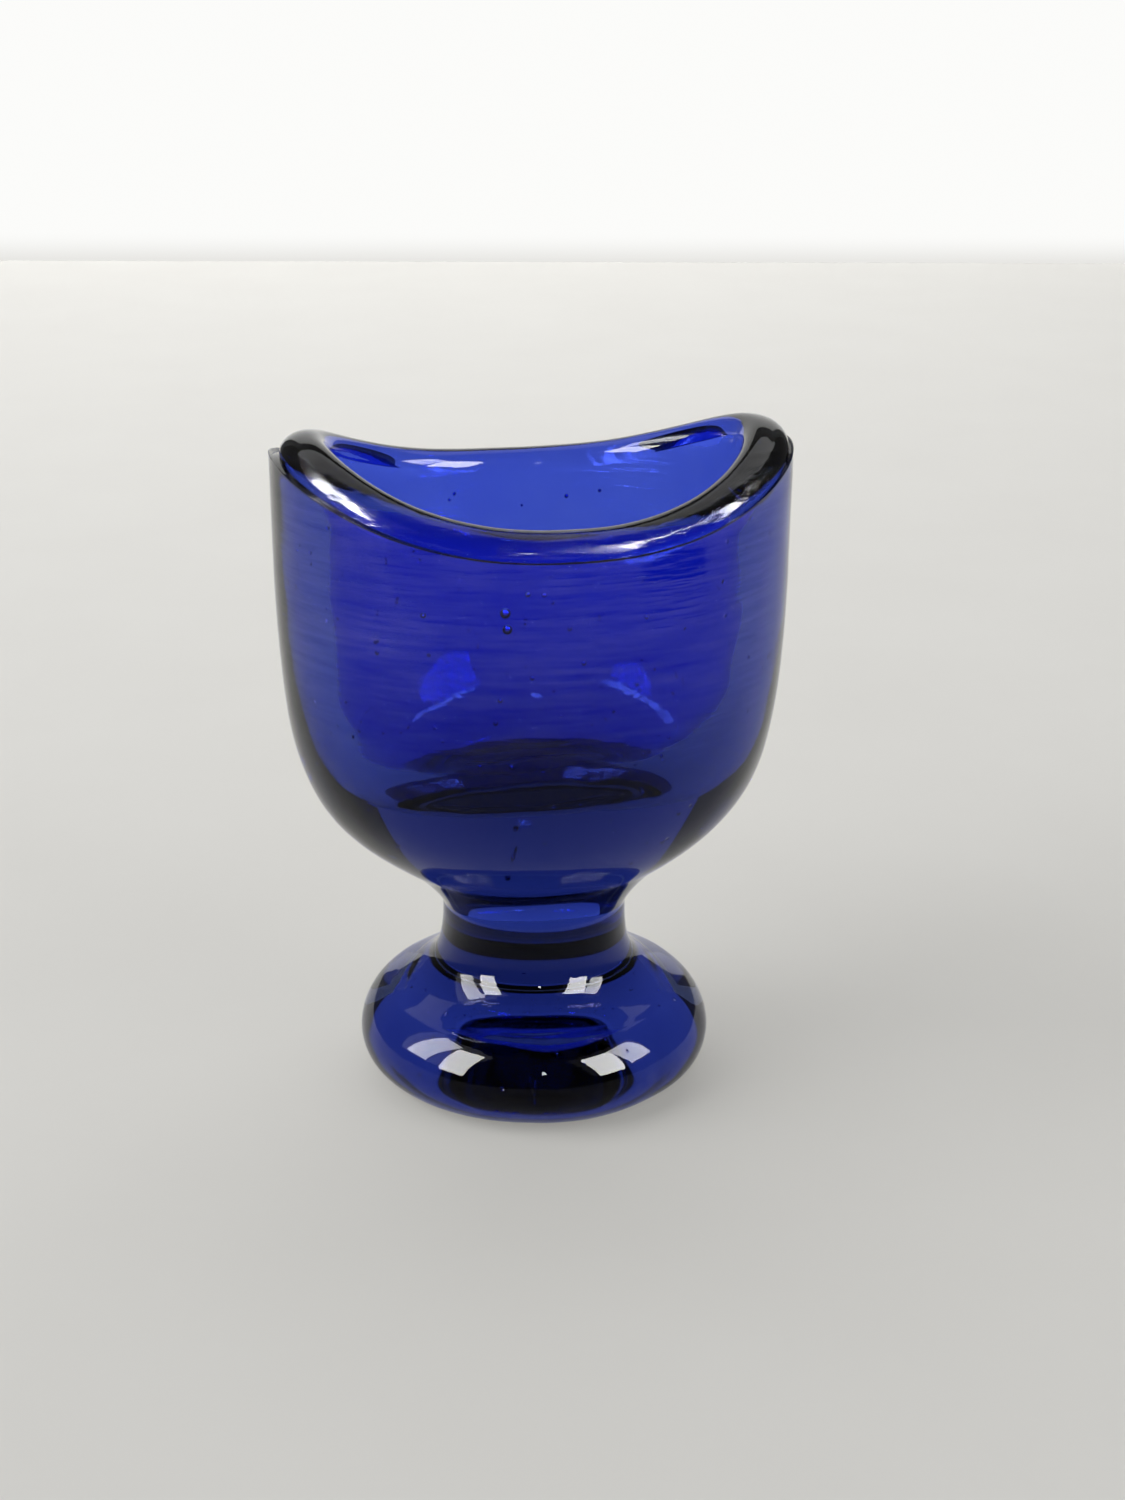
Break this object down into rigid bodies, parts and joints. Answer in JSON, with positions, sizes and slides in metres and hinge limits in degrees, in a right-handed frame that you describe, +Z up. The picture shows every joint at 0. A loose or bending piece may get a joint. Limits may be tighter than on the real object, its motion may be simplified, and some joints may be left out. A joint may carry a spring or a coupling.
{
  "type": "eye bath",
  "caption": "Oval eye bath of thick cobalt-blue pressed glass: a hollow bowl with a rounded saddle rim that seals round the eye socket, on a short waisted stem and a bun-shaped foot.",
  "frame": {"origin": "middle of the base, on the surface that the foot stands on", "axes": "+Z up, out of the mouth; X along the long way of the oval bowl, between its two high ends; Y across its two low sides"},
  "size_m": [0.0428, 0.0336, 0.0571],
  "materials": {
    "cobalt_glass": "gloss"
  },
  "bodies": {
    "root": {"rim": "cobalt_glass", "bowl": "cobalt_glass", "stem": "cobalt_glass", "foot": "cobalt_glass"}
  },
  "joints": []
}
